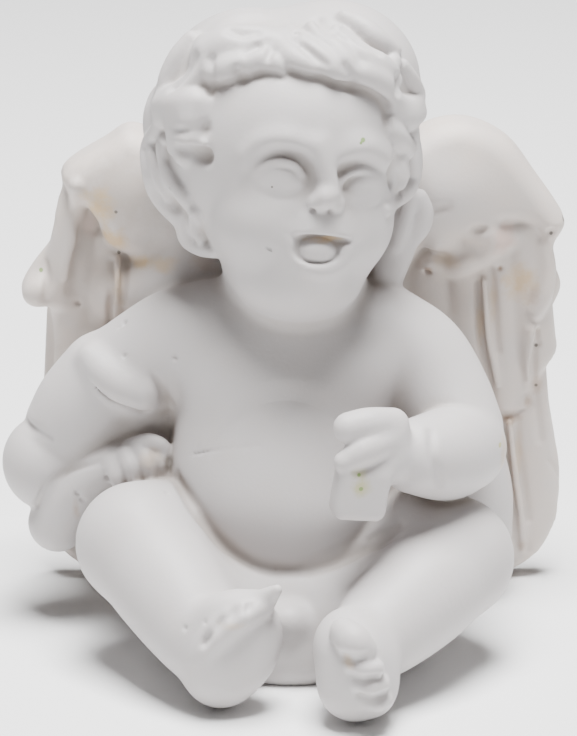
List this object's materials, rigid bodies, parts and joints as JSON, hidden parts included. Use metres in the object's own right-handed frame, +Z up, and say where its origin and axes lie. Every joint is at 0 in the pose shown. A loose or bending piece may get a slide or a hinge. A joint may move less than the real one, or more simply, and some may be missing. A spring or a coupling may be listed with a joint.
{
  "type": "angel figurine",
  "caption": "Small solid cast figurine of a seated cherub with open feathered wings, to stand on a shelf, plinth or cake.",
  "frame": {"origin": "on the flat underside, under the middle of the seated body", "axes": "+Z up, -Y the way the figure faces, +X to the figure's own left"},
  "size_m": [0.0559, 0.0435, 0.061],
  "materials": {
    "cast_resin": "matte, slightly waxy white resin"
  },
  "bodies": {
    "root": {"angel_figurine": "cast_resin"}
  },
  "joints": []
}
